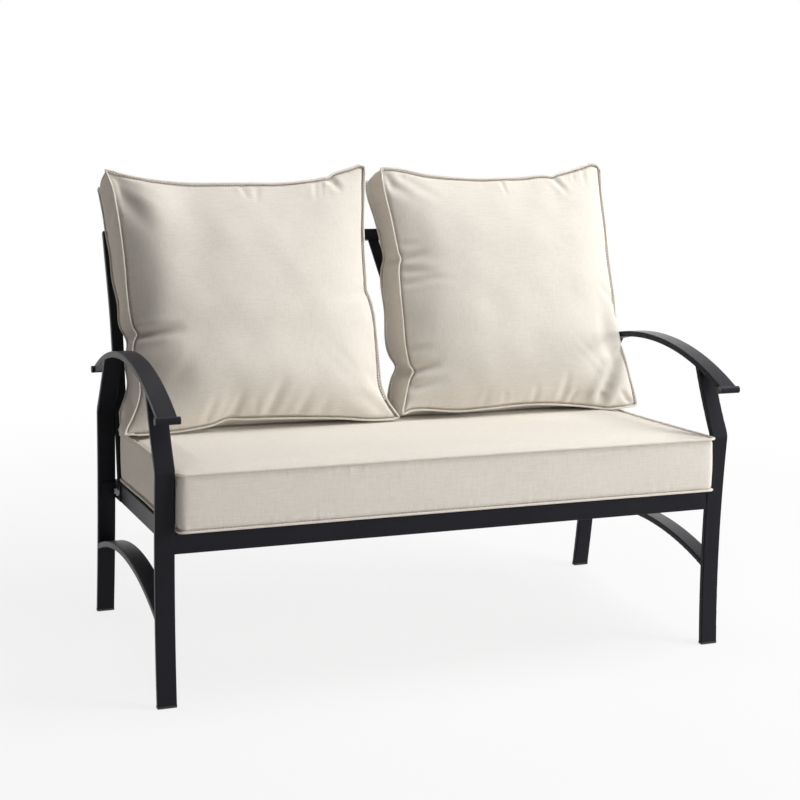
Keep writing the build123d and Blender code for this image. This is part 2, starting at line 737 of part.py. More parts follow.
# Back cushions: they lean on the bars and stand on the seat cushion, a little below its crown's top
back_up_dir = (0.0, math.sin(cushion_lean), math.cos(cushion_lean))
back_front_dir = (0.0, -math.cos(cushion_lean), math.sin(cushion_lean))
frame_reach = max(
    (back_line @ (step / trace_steps)).dot(Vector(*back_front_dir)) for step in range(trace_steps + 1)
)
rear_seam_reach = frame_reach + bar_thickness / 2 + back_lean_gap + back_crown_rear
seat_cushion_top = seat_lower_seam + seat_boxing + seat_crown_top
seat_top_at = seat_top_plane.from_local_coords((0, 0, seat_cushion_top))
up_by_up = Vector(*back_up_dir).dot(Vector(*seat_up_dir))
front_by_up = Vector(*back_front_dir).dot(Vector(*seat_up_dir))
seat_top_reach = seat_top_at.dot(Vector(*seat_up_dir))
corner_reach = (seat_top_reach - back_cushion_sink - rear_seam_reach * front_by_up) / up_by_up
centre_reach = corner_reach + back_cushion_height / 2
back_seam_centre = Vector(*back_up_dir) * centre_reach + Vector(*back_front_dir) * rear_seam_reach
resting_plane = seat_top_plane.offset(seat_cushion_top + rest_gap - back_cushion_settle)
back_size = (back_cushion_width, back_cushion_height)
back_draws = (back_draw_side, back_draw_end)
back_low = (back_crown_rear, *full_crown)
back_high = (back_crown_front, *full_crown)
back_cushion_x = (back_cushion_width + back_cushion_gap) / 2

for side_name, side in sides.items():
    seam_centre = Vector(side * back_cushion_x, back_seam_centre.Y, back_seam_centre.Z)
    back_seam_plane = Plane(origin=seam_centre, x_dir=(1, 0, 0), z_dir=back_front_dir)
    cushion_form = (back_seam_plane, back_size, back_draws, back_boxing, back_low, back_high)
    back_outside = padded_form(*cushion_form, 0, resting_plane)
    back_cavity = padded_form(*cushion_form, cover_thickness, resting_plane)
    back_inside = padded_form(*cushion_form, cover_thickness + core_gap, resting_plane)
    with BuildPart() as back_cover:
        add(back_outside)
        add(back_cavity, mode=Mode.SUBTRACT)
    save(back_cover.part, f"back_cushion_cover_{side_name}")
    save(back_inside, f"back_cushion_core_{side_name}")
    zip_middle = back_boxing * zip_forward_share
    back_zip = zip_tape(back_seam_plane, back_size, back_draws, zip_middle, back_zip_length)
    save(back_zip, f"back_cushion_zip_{side_name}")
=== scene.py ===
import math

import bpy
import numpy as np
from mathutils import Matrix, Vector, kdtree


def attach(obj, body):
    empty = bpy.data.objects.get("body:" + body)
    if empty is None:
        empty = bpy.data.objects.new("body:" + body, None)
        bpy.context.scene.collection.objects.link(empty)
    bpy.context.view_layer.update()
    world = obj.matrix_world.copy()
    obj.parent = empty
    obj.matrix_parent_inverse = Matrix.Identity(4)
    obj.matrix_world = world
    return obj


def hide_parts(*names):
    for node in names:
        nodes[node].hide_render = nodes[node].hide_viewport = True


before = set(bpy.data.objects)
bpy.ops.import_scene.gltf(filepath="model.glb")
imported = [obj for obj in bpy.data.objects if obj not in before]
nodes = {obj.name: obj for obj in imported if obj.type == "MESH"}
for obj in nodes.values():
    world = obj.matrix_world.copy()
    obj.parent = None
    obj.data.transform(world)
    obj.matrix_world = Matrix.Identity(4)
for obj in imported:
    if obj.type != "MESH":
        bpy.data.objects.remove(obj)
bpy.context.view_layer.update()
bpy.ops.object.select_all(action="DESELECT")

# The photographer's place: left of the middle and a little above the cushions, with a long lens. From
# there the loveseat shows its front, its left side and the inside of its right arm.
camera_place = (-1.2614, -3.2102, 1.2006)
camera_turn = [math.radians(angle) for angle in (78.566, -1.334, -21.121)]
bpy.ops.object.camera_add(location=camera_place, rotation=camera_turn)
camera = bpy.context.object
camera.name = "camera"
camera.data.lens = 73.23
camera.data.sensor_width = 36
bpy.context.scene.camera = camera
bpy.context.scene.view_settings.view_transform = "Standard"

# Lamps: soft boxes above the seat and far out on the right, weaker ones over the left cushion and in
# front, a warm screen on the left, and a large one behind that gives the tops of the arms their sheen.
for lamp_name, place, aim, size, power, tint in (
    ("top box", (1.7, -0.6, 3.0), (0.0, 0.0, 0.4), 1.8, 73, (1, 1, 1)),
    ("loft box", (-0.5, 0.3, 3.2), (-0.3, 0.0, 0.4), 1.3, 14, (1, 1, 1)),
    ("side box", (7.2, -4.35, 2.0), (0.0, 0.0, 0.5), 2.85, 400, (1, 1, 1)),
    ("front box", (1.2, -3.9, 1.0), (0.0, 0.0, 0.4), 1.6, 11, (1, 1, 1)),
    ("left screen", (-3.0, 1.5, 1.3), (0.0, 0.0, 0.5), 2.4, 12, (1, 0.92, 0.84)),
    ("back screen", (2.6, 3.4, 1.6), (0.0, 0.0, 0.6), 3.2, 38, (1, 1, 1)),
):
    turn = (Vector(aim) - Vector(place)).to_track_quat("-Z", "Y").to_euler()
    bpy.ops.object.light_add(type="AREA", location=place, rotation=turn)
    lamp = bpy.context.object
    lamp.name = lamp_name
    lamp.data.size = size
    lamp.data.energy = power
    lamp.data.color = tint
    lamp.visible_camera = False

# Floor: wide white studio paper that runs out into the background without an edge. It takes the
# loveseat's shadow near the legs, and is as bright as the wall behind it farther out.
floor_drop = 0.0006
shadow_reach, wall_reach = 0.7, 2.6
shadow_glow, wall_glow = 0.82, 1.0


class Wire:
    """A shader socket that is added, taken away, multiplied and divided like a number."""

    def __init__(self, finish, socket):
        self.finish = finish
        self.socket = socket

    def _sum(self, operation, first, second):
        return self.finish.node("ShaderNodeMath", {"operation": operation}, {0: first, 1: second})

    def __add__(self, other):
        return self._sum("ADD", self, other)

    def __radd__(self, other):
        return self._sum("ADD", other, self)

    def __sub__(self, other):
        return self._sum("SUBTRACT", self, other)

    def __rsub__(self, other):
        return self._sum("SUBTRACT", other, self)

    def __mul__(self, other):
        return self._sum("MULTIPLY", self, other)

    def __rmul__(self, other):
        return self._sum("MULTIPLY", other, self)

    def __truediv__(self, other):
        return self._sum("DIVIDE", self, other)


class Finish:
    """A material built up node by node, each fed as it is added."""

    def __init__(self, name):
        self.material = bpy.data.materials.new(name)
        self.material.use_nodes = True
        self.tree = self.material.node_tree
        self.tree.nodes.clear()
        self.out = self.tree.nodes.new("ShaderNodeOutputMaterial")
        self.skin = self.tree.nodes.new("ShaderNodeBsdfPrincipled")
        self.tree.links.new(self.skin.outputs[0], self.out.inputs[0])

    def feed(self, node, inputs):
        for key, value in inputs.items():
            socket = node.inputs[key]
            if isinstance(value, Wire):
                self.tree.links.new(value.socket, socket)
            else:
                socket.default_value = value

    def node(self, kind, settings=None, inputs=None, output=0):
        added = self.tree.nodes.new(kind)
        for key, value in (settings or {}).items():
            if key == "stops":
                ramp = added.color_ramp
                while len(ramp.elements) < len(value):
                    ramp.elements.new(0.5)
                for element, (at, colour) in zip(ramp.elements, value):
                    element.position = at
                    element.color = (*colour, 1)
            else:
                setattr(added, key, value)
        self.feed(added, inputs or {})
        return Wire(self, added.outputs[output])

    def place(self, turn=0, scale=(1, 1, 1)):
        """The point on the piece, in metres, turned about the width and then stretched."""
        at = self.node("ShaderNodeTexCoord", output=3)
        if turn:
            at = self.node("ShaderNodeMapping", {}, {"Vector": at, "Rotation": (math.radians(turn), 0, 0)})
        return self.node("ShaderNodeMapping", {}, {"Vector": at, "Scale": scale})

    def grain(self, at, scale=1.0, detail=2.0, rough=0.5):
        inputs = {"Vector": at, "Scale": scale, "Detail": detail, "Roughness": rough}
        return self.node("ShaderNodeTexNoise", {}, inputs)

    def blend(self, share, first, second):
        """A colour between two others."""
        first, second = [c if isinstance(c, Wire) else (*c, 1) for c in (first, second)]
        return self.node("ShaderNodeMix", {"data_type": "RGBA"}, {0: share, 6: first, 7: second}, 2)

    def bump(self, height, depth, strength):
        inputs = {"Height": height, "Distance": depth, "Strength": strength}
        return self.node("ShaderNodeBump", {}, inputs)

    def surface(self, **sockets):
        self.feed(self.skin, {key.replace("_", " "): value for key, value in sockets.items()})


bpy.ops.mesh.primitive_plane_add(size=60, location=(0, 0, -floor_drop))
floor = bpy.context.object
floor.name = "studio_floor"
paper = Finish("studio paper")
paper.surface(Base_Color=(0.82, 0.82, 0.82, 1), Roughness=1.0)
seen = 0
for kind in ("Is Camera Ray", "Is Glossy Ray", "Is Transmission Ray"):
    seen = paper.node("ShaderNodeLightPath", output=kind) + seen
seen = paper.node("ShaderNodeMath", {"operation": "MINIMUM"}, {0: seen, 1: 1.0})
glow = paper.node("ShaderNodeEmission", {}, {"Color": (1, 1, 1, 1), "Strength": 1.0})
spot = paper.node("ShaderNodeTexCoord", output=3)
away = paper.node("ShaderNodeVectorMath", {"operation": "LENGTH"}, {0: spot}, 1)
fading = paper.node(
    "ShaderNodeMapRange",
    {"interpolation_type": "SMOOTHSTEP"},
    {0: away, 1: shadow_reach, 2: wall_reach, 3: shadow_glow, 4: wall_glow},
)
skin = Wire(paper, paper.skin.outputs[0])
mixed = paper.node("ShaderNodeMixShader", {}, {0: seen * fading, 1: skin, 2: glow})
paper.tree.links.new(mixed.socket, paper.out.inputs[0])
floor.data.materials.append(paper.material)

# World: the faint even light of a white studio, a little warm. To the camera, and where metal mirrors
# it, it is the plain white wall behind the loveseat.
sky_colour, sky_strength = (1, 0.96, 0.92, 1), 0.055
wall_colour, wall_strength = (1, 1, 1, 1), 1.0
world = bpy.data.worlds.new("studio")
bpy.context.scene.world = world
world.use_nodes = True
world.node_tree.nodes.clear()
sky = world.node_tree.nodes.new("ShaderNodeBackground")
sky.inputs["Color"].default_value = sky_colour
sky.inputs["Strength"].default_value = sky_strength
wall = world.node_tree.nodes.new("ShaderNodeBackground")
wall.inputs["Color"].default_value = wall_colour
wall.inputs["Strength"].default_value = wall_strength
ray = world.node_tree.nodes.new("ShaderNodeLightPath")
either = world.node_tree.nodes.new("ShaderNodeMixShader")
world_out = world.node_tree.nodes.new("ShaderNodeOutputWorld")
direct = ray.outputs["Is Camera Ray"]
for kind in ("Is Glossy Ray", "Is Transmission Ray"):
    either_ray = world.node_tree.nodes.new("ShaderNodeMath")
    either_ray.operation = "MAXIMUM"
    world.node_tree.links.new(direct, either_ray.inputs[0])
    world.node_tree.links.new(ray.outputs[kind], either_ray.inputs[1])
    direct = either_ray.outputs[0]
world.node_tree.links.new(direct, either.inputs[0])
world.node_tree.links.new(sky.outputs[0], either.inputs[1])
world.node_tree.links.new(wall.outputs[0], either.inputs[2])
world.node_tree.links.new(either.outputs[0], world_out.inputs[0])

# Steel frame: bent and welded flat tube, powder coated in charcoal black. The coat is satin, with the
# fine orange peel of baked powder, and a little duller where the spray was thin.
coat_colour = (0.0158, 0.0154, 0.0200)
coat_worn = (0.0210, 0.0205, 0.0258)
smooth_below = math.radians(32)


def coat(names, finish):
    """Gives frame parts a finish, and smooths their round faces but not their edges."""
    for name in names:
        nodes[name].data.materials.clear()
        nodes[name].data.materials.append(finish.material)
        nodes[name].select_set(True)
        bpy.context.view_layer.objects.active = nodes[name]
    bpy.ops.object.shade_smooth_by_angle(angle=smooth_below)
    bpy.ops.object.select_all(action="DESELECT")


powder_coat = Finish("charcoal powder coat")
cloudy = powder_coat.grain(powder_coat.place(), 9, 3)
peel = powder_coat.grain(powder_coat.place(), 1100, 1)
speckle = powder_coat.grain(powder_coat.place(), 420, 2)
powder_coat.surface(
    Base_Color=powder_coat.blend(cloudy * 0.6 + speckle * 0.4, coat_colour, coat_worn),
    Roughness=cloudy * 0.14 + 0.30,
    Specular_IOR_Level=0.08,
    Normal=powder_coat.bump(peel + speckle * 0.6, 0.00022, 0.35),
)
steel_parts = ("armrest", "arm", "front", "rear", "stretcher", "seat", "back")
steel = [n for n in nodes if n.split("_")[0] in steel_parts]
steel = [n for n in steel if "cushion" not in n and "bolts" not in n and "washers" not in n]
coat(steel, powder_coat)

# Glides, plugs and caps: black moulded nylon, matter and a touch browner than the coat. Each is a push
# fit in the open end of its tube.
nylon_dark = (0.012, 0.0118, 0.0120)
nylon_light = (0.021, 0.0205, 0.0205)
nylon = Finish("black moulded nylon")
mould = nylon.grain(nylon.place(), 600, 2)
nylon.surface(
    Base_Color=nylon.blend(mould, nylon_dark, nylon_light),
    Roughness=mould * 0.12 + 0.5,
    Normal=nylon.bump(mould, 0.0001, 0.3),
)
coat([n for n in nodes if n.startswith(("foot_glide", "upright_cap")) or n == "roll_plugs"], nylon)

# Bolts, washers, nuts and the inserts in the legs: zinc plated steel, turned and rolled, dulled in
# patches. They hold the seat frame to its brackets and the back frame to the rear legs.
zinc_dull = (0.42, 0.42, 0.43)
zinc_bright = (0.60, 0.60, 0.59)
zinc = Finish("zinc plate")
tarnish = zinc.grain(zinc.place(), 260, 4)
brushed = zinc.grain(zinc.place(scale=(300, 3000, 3000)), 1, 2)
zinc.surface(
    Base_Color=zinc.blend(tarnish, zinc_dull, zinc_bright),
    Metallic=1.0,
    Roughness=tarnish * 0.2 + 0.28,
    Normal=zinc.bump(brushed, 0.00005, 0.4),
)
coat(("rail_bolts", "rail_washers", "rail_nuts", "back_bolts", "back_washers", "leg_inserts"), zinc)

# Seat cushion: one firm boxed slab of foam in a linen cover, welted top and bottom. It lies on the
# slats, reaches past the front rail, and its corners are square with a small radius.
linen_shades = (
    (0.34, (0.665, 0.615, 0.545)),
    (0.50, (0.735, 0.688, 0.620)),
    (0.66, (0.785, 0.742, 0.678)),
)
# Painted shade: the dark colour laid on the cloth beside each welt stands in for the shade in the crease
# there
painted_crease_shadow = (0.34, 0.29, 0.23)
threads_along, threads_over = 34, 560
close_weave = 2.6


def linen(name, turn, painted_lightening):
    """Slubbed outdoor linen: threads across, up and through the cushion, each shown where it lies flat."""
    cloth = Finish(name)
    face = cloth.node("ShaderNodeTexCoord", output=1)
    tilt = {"Vector": face, "Rotation": (math.radians(turn), 0, 0)}
    face = cloth.node("ShaderNodeMapping", {"vector_type": "NORMAL"}, tilt)
    parts = cloth.node("ShaderNodeSeparateXYZ", {}, {"Vector": face}).socket.node.outputs
    value = 0
    weight = 0
    fine = 0
    for axis in range(3):
        run = [threads_along if axis == k else threads_over for k in range(3)]
        part = Wire(cloth, parts[axis])
        lies_flat = 1.02 - cloth.node("ShaderNodeMath", {"operation": "ABSOLUTE"}, {0: part})
        threads = cloth.grain(cloth.place(turn, run), 1.0, 3, 0.62)
        close = cloth.grain(cloth.place(turn, [close_weave * s for s in run]), 1.0, 1)
        value = lies_flat * threads + value
        fine = lies_flat * close + fine
        weight = lies_flat + weight
    value = value / weight
    fine = fine / weight
    cloud = cloth.grain(cloth.place(turn), 7, 2)
    # The painted lightening multiplies every thread colour: above one it paints this linen lighter than
    # the same cloth elsewhere, standing in for light
    shade = cloth.node(
        "ShaderNodeValToRGB",
        {"stops": [(at, [c * painted_lightening for c in shade]) for at, shade in linen_shades]},
        {0: value * 0.8 + fine * 0.2 + (cloud - 0.5) * 0.05},
    )
    # Painted shade: the cloth turns toward the painted crease shadow beside each welt, by the share marked
    # on the mesh
    painted_shade_share = cloth.node("ShaderNodeAttribute", {"attribute_name": "crease_shade"}, {}, 2)
    cloth.surface(
        Base_Color=cloth.blend(painted_shade_share * 0.6, shade, painted_crease_shadow),
        Roughness=0.92 - value * 0.1,
        Specular_IOR_Level=0.25,
        Sheen_Weight=0.12,
        Sheen_Roughness=0.5,
        Normal=cloth.bump(value + fine, 0.0006, 0.45),
    )
    return cloth


def smooth_line(marks, count):
    """Evenly spaced points on a smooth line through a sewing pattern's marks."""
    marks = np.array(marks, float)
    run = np.concatenate([[0], np.cumsum(np.linalg.norm(np.diff(marks, axis=0), axis=1))])
    slope = np.gradient(marks, run, axis=0)
    stretch = 60
    fine = []
    for k in range(len(marks) - 1):
        span = run[k + 1] - run[k]
        t = np.linspace(0, 1, stretch, endpoint=False)[:, None]
        fine.append(
            (1 + 2 * t) * (1 - t) ** 2 * marks[k]
            + t * (1 - t) ** 2 * span * slope[k]
            + t * t * (3 - 2 * t) * marks[k + 1]
            + t * t * (t - 1) * span * slope[k + 1]
        )
    fine = np.vstack([*fine, marks[-1:]])
    length = np.concatenate([[0], np.cumsum(np.linalg.norm(np.diff(fine, axis=0), axis=1))])
    at = np.linspace(0, length[-1], count + 1)
    return np.stack([np.interp(at, length, fine[:, c]) for c in (0, 1)], axis=1)


def panel(outline, across, up):
    """The points of a cloth panel cut to four sides, as rows from its bottom to its top."""
    bottom, top = smooth_line(outline["bottom"], across), smooth_line(outline["top"], across)
    left, right = smooth_line(outline["left"], up), smooth_line(outline["right"], up)
    s = np.linspace(0, 1, across + 1)[None, :, None]
    t = np.linspace(0, 1, up + 1)[:, None, None]
    corners = (1 - s) * (1 - t) * bottom[0] + s * (1 - t) * bottom[-1]
    corners = corners + (1 - s) * t * top[0] + s * t * top[-1]
    return (1 - t) * bottom[None] + t * top[None] + (1 - s) * left[:, None] + s * right[:, None] - corners


def rim(across, up):
    """The order of a panel's edge points, round from its bottom left corner."""
    return (
        [(0, i) for i in range(across)]
        + [(j, across) for j in range(up)]
        + [(up, i) for i in range(across, 0, -1)]
        + [(j, 0) for j in range(up, 0, -1)]
    )


def sew_cushion(name, face, back, boxing, crowns, steeps, slump, bulge, stitches):
    """Sews a face panel, a boxing strip and a back panel into a closed cushion, in its own millimetres."""
    across, up, deep = stitches
    near_left, near_right, low, high = steeps
    sag, lean = slump
    steep, gentle = 0.8, 0.2
    s = np.linspace(-1, 1, across + 1)[None, :]
    t = np.linspace(-1, 1, up + 1)[:, None]
    sideways = steep * (1 - np.exp(near_right * (s - 1))) * (1 - np.exp(-near_left * (s + 1)))
    upwards = steep * (1 - np.exp(high * (t - 1))) * (1 - np.exp(-low * (t + 1))) * (1 - sag * t)
    dome = (sideways + gentle * (1 - s * s)) * (upwards + gentle * (1 - t * t)) * (1 - lean * s)
    front_rows = np.dstack([panel(face, across, up), crowns[0] * dome])
    back_rows = np.dstack([panel(back, across, up), -boxing - crowns[1] * dome])
    order = rim(across, up)
    size = (across + 1) * (up + 1)
    points = [front_rows.reshape(-1, 3), back_rows.reshape(-1, 3)]
    front_rim = [j * (across + 1) + i for j, i in order]
    rings = [front_rim]
    start = np.array([front_rows[j, i] for j, i in order])
    end = np.array([back_rows[j, i] for j, i in order])
    centre = start.mean(axis=0)
    out = (start - centre) * (1, 1, 0)
    out /= np.linalg.norm(out, axis=1)[:, None]
    for k in range(1, deep):
        share = k / deep
        points.append(start * (1 - share) + end * share + out * bulge * math.sin(math.pi * share))
        rings.append([2 * size + (k - 1) * len(order) + n for n in range(len(order))])
    rings.append([size + n for n in front_rim])
    faces = []
    for j in range(up):
        for i in range(across):
            a = j * (across + 1) + i
            faces.append((a, a + 1, a + across + 2, a + across + 1))
            faces.append((size + a, size + a + across + 1, size + a + across + 2, size + a + 1))
    for upper, lower in zip(rings, rings[1:]):
        for n in range(len(order)):
            m = (n + 1) % len(order)
            faces.append((upper[n], lower[n], lower[m], upper[m]))
    mesh = bpy.data.meshes.new(name)
    mesh.from_pydata(np.vstack(points).tolist(), [], faces)
    cushion = bpy.data.objects.new(name, mesh)
    bpy.context.scene.collection.objects.link(cushion)
    seams = [rings[0], rings[-1]]
    pinned = cushion.vertex_groups.new(name="seams")
    pinned.add(seams[0] + seams[1], 1.0, "REPLACE")
    sewn = {frozenset((ring[n], ring[n - 1])) for ring in seams for n in range(len(ring))}
    crease = mesh.attributes.new("crease_edge", "FLOAT", "EDGE")
    crease.data.foreach_set("value", [1.0 if frozenset(e.vertices) in sewn else 0.0 for e in mesh.edges])
    return cushion, seams


def points_of(mesh):
    co = np.empty(len(mesh.vertices) * 3)
    mesh.vertices.foreach_get("co", co)
    return co.reshape(-1, 3)


def normals_of(mesh):
    out = np.empty(len(mesh.vertices) * 3)
    mesh.vertex_normals.foreach_get("vector", out)
    return out.reshape(-1, 3)


def stuff(cushions, pressure, furthest):
    """Fills sewn cushions with air as cloth, their seams held, and keeps the shape they take."""
    steps = 20
    resting = {c.name: points_of(c.data) for c in cushions}
    for c in cushions:
        cloth = c.modifiers.new("filling", "CLOTH")
        cloth.settings.quality = 4
        cloth.settings.mass = 0.3
        cloth.settings.tension_stiffness = 12
        cloth.settings.compression_stiffness = 12
        cloth.settings.shear_stiffness = 4
        cloth.settings.bending_stiffness = 0.4
        cloth.settings.use_pressure = True
        cloth.settings.uniform_pressure_force = pressure
        cloth.settings.vertex_group_mass = "seams"
        cloth.settings.effector_weights.gravity = 0
        cloth.collision_settings.use_self_collision = False
        cloth.point_cache.frame_start = 1
        cloth.point_cache.frame_end = steps
    for step in range(1, steps + 1):
        bpy.context.scene.frame_set(step)
    depsgraph = bpy.context.evaluated_depsgraph_get()
    for c in cushions:
        moved = points_of(c.evaluated_get(depsgraph).data) - resting[c.name]
        reach = np.linalg.norm(moved, axis=1)[:, None]
        moved *= np.minimum(1, furthest / np.maximum(reach, 1e-9))
        c.modifiers.remove(c.modifiers["filling"])
        c.data.vertices.foreach_set("co", (resting[c.name] + moved).ravel())
        c.data.update()
        ease = c.modifiers.new("ease", "SMOOTH")
        ease.iterations = 8
        ease.vertex_group = "seams"
        ease.invert_vertex_group = True
        bpy.context.view_layer.objects.active = c
        bpy.ops.object.modifier_apply(modifier=ease.name)
    bpy.context.scene.frame_set(1)


def finer(obj):
    """Rounds a mesh with one subdivision and applies it."""
    bpy.context.view_layer.objects.active = obj
    more = obj.modifiers.new("round", "SUBSURF")
    more.levels = more.render_levels = 1
    bpy.ops.object.modifier_apply(modifier=more.name)
    obj.data.polygons.foreach_set("use_smooth", [True] * len(obj.data.polygons))


def dress(co, out, at, seams, folds, seed, pucker, lump):
    """Works folds, the gathers along a welted seam, and uneven filling into a cushion's points."""
    ridge, ridge_stand = 0.35, 1.9
    lumps, lump_lengths = 14, (0.07, 0.21)
    gathers, gather_lengths, gather_reach = 26, (0.011, 0.045), 0.016
    groove, groove_place, groove_width = 0.0028, 0.0038, 0.0026
    cord_reach, fold_start = 0.003, 0.008
    side_from, side_ease = 205, 25
    full_turn, evening = 6.28, 2.6
    dice = np.random.default_rng(seed)
    shift, creased = np.zeros(len(co)), np.zeros(len(co))
    for cloth, line, width, depth in folds:
        if cloth == "face":
            flat, shown = at[:, (0, 1)], np.clip((at[:, 2] + 4) / 8, 0, 1)
        else:
            flat = at[:, (2, 1)]
            shown = np.clip((-at[:, 0] - side_from) / side_ease, 0, 1) * np.clip((2 - at[:, 2]) / 6, 0, 1)
        line = np.array(line, float)
        steps = np.linalg.norm(np.diff(line, axis=0), axis=1)
        away, share = np.full(len(co), 1e6), np.zeros(len(co))
        for k, (a, b) in enumerate(zip(line, line[1:])):
            along = np.clip(((flat - a) @ (b - a)) / steps[k] ** 2, 0, 1)
            off = np.linalg.norm(flat - (a + along[:, None] * (b - a)), axis=1)
            closer = off < away
            away[closer] = off[closer]
            share[closer] = ((steps[:k].sum() + along * steps[k]) / steps.sum())[closer]
        shape = np.exp(-((away / width) ** 2))
        shape = shape - ridge * np.exp(-(((away - ridge_stand * width) / width) ** 2))
        creased -= depth / 1000 * shape * np.cos(share * math.pi / 2) ** 1.1 * shown
    for _ in range(lumps):
        way = dice.normal(size=3)
        way /= np.linalg.norm(way)
        length = dice.uniform(*lump_lengths)
        shift += lump / 1000 / 4 * np.sin(co @ way * 2 * math.pi / length + dice.uniform(0, full_turn))
    near = np.full(len(co), 1.0)
    wave = np.zeros(len(co))
    for seam in seams:
        line = co[seam]
        step = np.linalg.norm(np.diff(np.vstack([line, line[:1]]), axis=0), axis=1)
        run = np.concatenate([[0], np.cumsum(step)])
        beat = np.zeros(len(seam))
        for _ in range(gathers):
            count = int(run[-1] / dice.uniform(*gather_lengths))
            swing = np.sin(2 * math.pi * count * run[:-1] / run[-1] + dice.uniform(0, full_turn))
            beat += swing * dice.uniform(0.3, 1)
        beat *= 1 / evening
        tree = kdtree.KDTree(len(seam))
        for n, p in enumerate(line):
            tree.insert(p, n)
        tree.balance()
        found = [tree.find(p) for p in co]
        distance = np.array([f[2] for f in found])
        closer = distance < near
        wave[closer] = beat[[f[1] for f in found]][closer]
        near = np.minimum(near, distance)
    gathered = wave * np.exp(-((near / gather_reach) ** 2)) * (1 - np.exp(-((near / cord_reach) ** 2)))
    shift += pucker / 1000 * gathered
    shift -= groove * np.exp(-(((near - groove_place) / groove_width) ** 2))
    shift += creased * (1 - np.exp(-((near / fold_start) ** 2)))
    held = np.ones(len(co))
    held[[i for seam in seams for i in seam]] = 0
    return co + out * (shift * held)[:, None], near


def paint_seam_shade(mesh, near, depth, boxing):
    """Marks the painted shade in the tight crease beside each welt, where the panel turns under and little
    light gets in.
    """
    crease_place, crease_width = 0.0033, 0.0021
    panels = np.where((depth > -0.5) | (depth < 0.5 - boxing), 1, 0.3)
    crease = mesh.attributes.new("crease_shade", "FLOAT", "POINT")
    crease.data.foreach_set("value", np.exp(-(((near - crease_place) / crease_width) ** 2)) * panels)


def welt(name, line, out, radius, stand, finish, body):
    """A covered cord sewn into a seam, as a closed tube along it."""
    curve = bpy.data.curves.new(name, "CURVE")
    curve.dimensions = "3D"
    curve.bevel_depth = radius
    curve.bevel_resolution = 3
    spline = curve.splines.new("POLY")
    spline.points.add(len(line) - 1)
    for _ in range(4):
        out = (np.roll(out, 1, axis=0) + out + np.roll(out, -1, axis=0)) / 3
    out = out / np.linalg.norm(out, axis=1)[:, None]
    centre = line + out * radius * stand
    spline.points.foreach_set("co", np.hstack([centre, np.ones((len(line), 1))]).ravel())
    spline.use_cyclic_u = True
    holder = bpy.data.objects.new(name + "_line", curve)
    bpy.context.scene.collection.objects.link(holder)
    mesh = bpy.data.meshes.new_from_object(holder)
    bpy.data.objects.remove(holder)
    cord = bpy.data.objects.new(name, mesh)
    bpy.context.scene.collection.objects.link(cord)
    mesh.materials.clear()
    mesh.materials.append(finish.material)
    mesh.polygons.foreach_set("use_smooth", [True] * len(mesh.polygons))
    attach(cord, body)


seat_tilt = math.radians(3.2)
seat_back = np.array([0, math.cos(seat_tilt), -math.sin(seat_tilt)])
seat_up = np.array([0, math.sin(seat_tilt), math.cos(seat_tilt)])
seat_front_rail = np.array([0, -0.32026, 0.3395])
seat_boxing = 107.0
seat_top_seam = 115.6
seat_face = {
    "bottom": [
        (-574.5, -24), (-573.5, -27), (-571, -29), (-567, -29.5), (-555, -29.5), (-500, -29),
        (-300, -27.5), (0, -26), (300, -27.5), (500, -29), (555, -29.5), (567, -29.5), (571, -29),
        (573.5, -27), (574.5, -24),
    ],
    "right": [
        (574.5, -24), (574.5, -14), (574.5, 40), (571.5, 250), (573.5, 450), (573.5, 500), (573, 514),
    ],
    "top": [
        (-573, 514), (-571, 519), (-566, 521.5), (-555, 522), (-480, 521), (0, 517), (480, 521),
        (555, 522), (566, 521.5), (571, 519), (573, 514),
    ],
    "left": [
        (-574.5, -24), (-574.5, -14), (-574.5, 40), (-571.5, 250), (-573.5, 450), (-573.5, 500),
        (-573, 514),
    ],
}
seat_crowns, seat_steeps, seat_slump = (8.2, 5), (30, 30, 24, 24), (0, 0)
seat_bulge, seat_stitches = 1.5, (150, 76, 15)
seat_lowest, seat_highest, seat_half_width = 0.0006, 0.1252, 0.5758
seat_top_from = 0.112
seat_cushion, seat_seams = sew_cushion(
    "seat_cushion",
    seat_face,
    seat_face,
    seat_boxing,
    seat_crowns,
    seat_steeps,
    seat_slump,
    seat_bulge,
    seat_stitches,
)
local = points_of(seat_cushion.data)
seat_place = np.stack([np.array([1.0, 0, 0]), seat_back, seat_up])
seat_origin = seat_front_rail * 1000 + seat_up * seat_top_seam
seat_cushion.data.vertices.foreach_set("co", ((local @ seat_place + seat_origin) / 1000).ravel())
seat_cushion.data.update()
stuff([seat_cushion], pressure=1.5, furthest=0.004)
finer(seat_cushion)
# The seat's cover is the back cushions' linen painted 13 percent lighter, standing in for light on the
# seat
seat_linen_painted_lighter = linen("seat linen painted lighter", math.degrees(seat_tilt), 1.13)
seat_folds = [("face", [(-540, 0), (-420, 70)], 20, 1.0), ("face", [(560, 10), (450, 60)], 18, 0.8)]
co = points_of(seat_cushion.data)
at = (co * 1000 - seat_origin) @ seat_place.T
out = normals_of(seat_cushion.data)
co, near = dress(co, out, at, seat_seams, seat_folds, seed=3, pucker=0.35, lump=0.35)
paint_seam_shade(seat_cushion.data, near, at[:, 2], seat_boxing)
height = (co - seat_front_rail) @ seat_up
co += np.outer(np.clip(height, seat_lowest, seat_highest) - height, seat_up)
over = np.clip(np.abs(co[:, 0]) - seat_half_width, 0, None)
co[:, 0] -= np.sign(co[:, 0]) * over
seat_cushion.data.vertices.foreach_set("co", co.ravel())
seat_cushion.data.update()
seat_height = (co - seat_front_rail) @ seat_up
seat_top = kdtree.KDTree(len(co))
for i in np.nonzero(seat_height > seat_top_from)[0]:
    seat_top.insert((co[i][0], (co[i] - seat_front_rail) @ seat_back, 0), i)
seat_top.balance()
